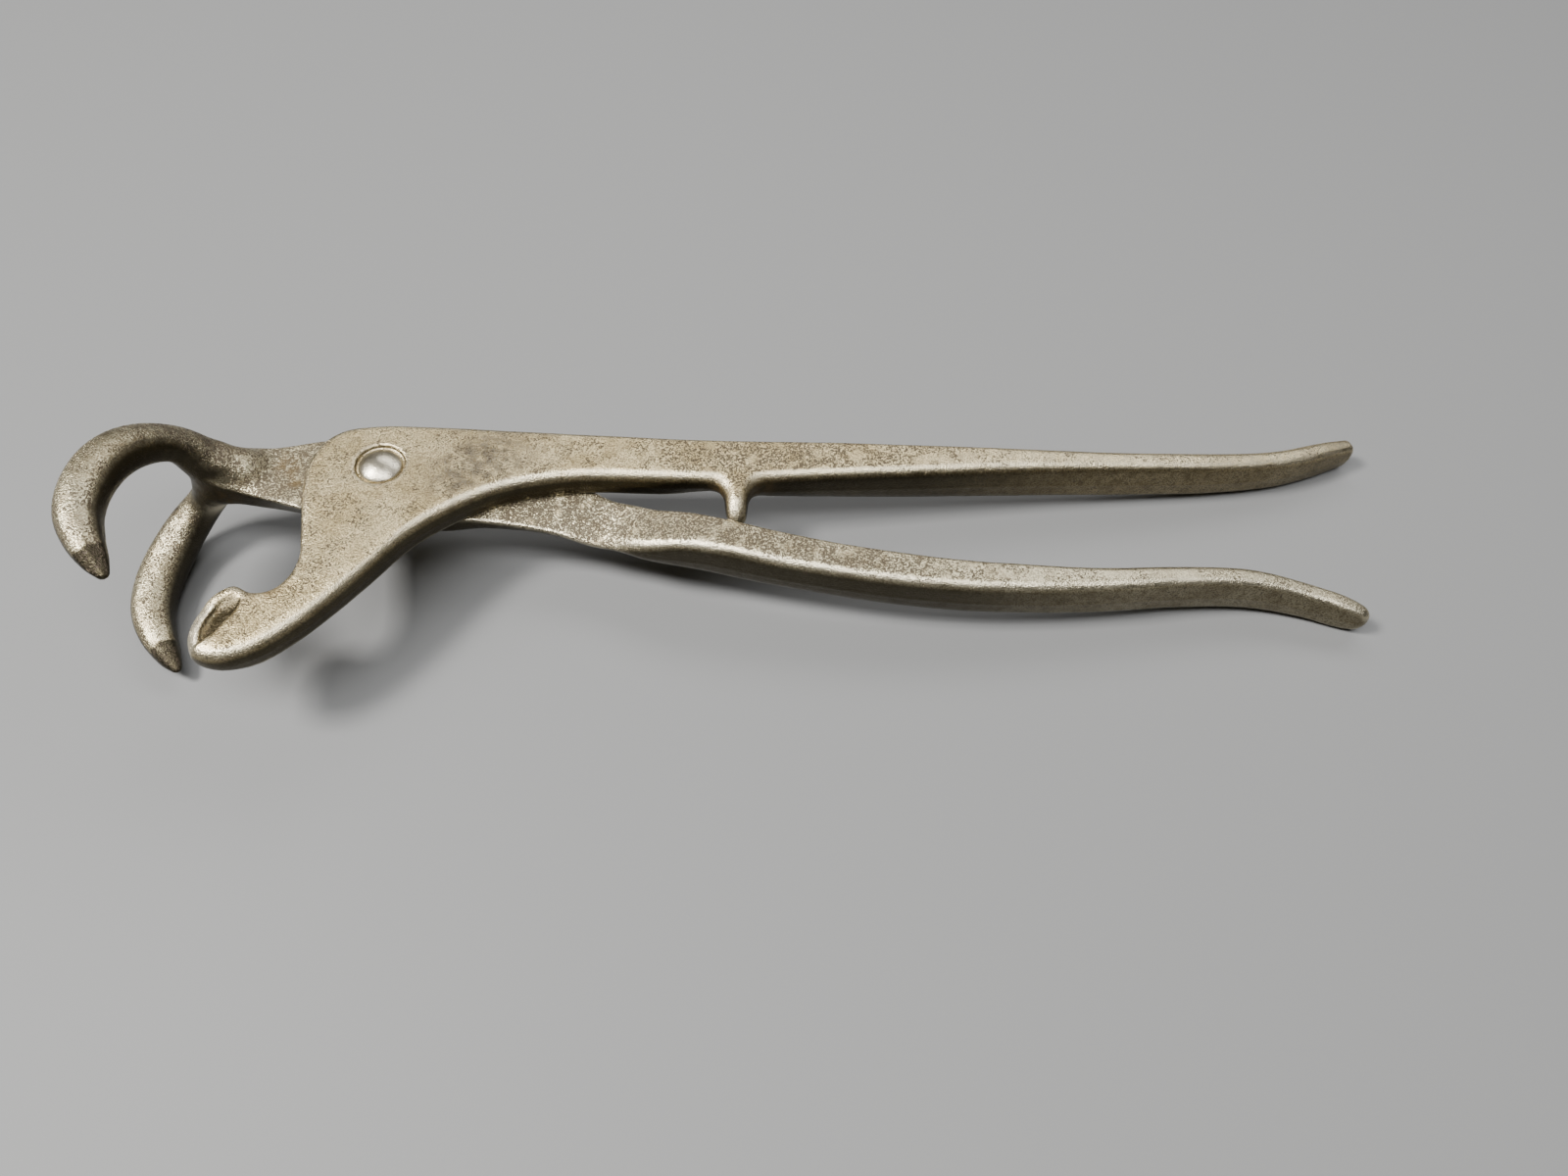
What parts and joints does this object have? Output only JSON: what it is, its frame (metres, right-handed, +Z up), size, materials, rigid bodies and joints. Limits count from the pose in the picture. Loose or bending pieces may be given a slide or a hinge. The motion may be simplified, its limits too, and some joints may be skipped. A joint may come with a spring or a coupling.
{
  "type": "fork-jaw pliers",
  "caption": "Long-handled forged pliers: a forked hook jaw closes past a blunt flat nose, lapped levers turn on a rivet, and a stub between the handles stops them.",
  "frame": {"origin": "on the table, under the centre of the bounding box of the closed pliers as they lie", "axes": "+X along the handles from the jaws to the handle ends, +Y towards the back of the thumb lever, +Z up from the table"},
  "size_m": [0.3057, 0.0787, 0.0494],
  "materials": {
    "thumb_lever": "worn nickel over forged steel, pitted",
    "fork_lever": "worn nickel over forged steel, pitted",
    "pivot_rivet": "smooth worn head"
  },
  "bodies": {
    "thumb": {"thumb_lever": "thumb_lever", "pivot_rivet": "pivot_rivet"},
    "fork": {"fork_lever": "fork_lever"}
  },
  "joints": [
    {"name": "fork_pivot", "type": "hinge", "parent": "thumb", "child": "fork", "pos_m": [-0.091, 0.0141, 0.02093], "axis": [0.0689, 0, 0.9976], "range_deg": [-45, 0]}
  ]
}
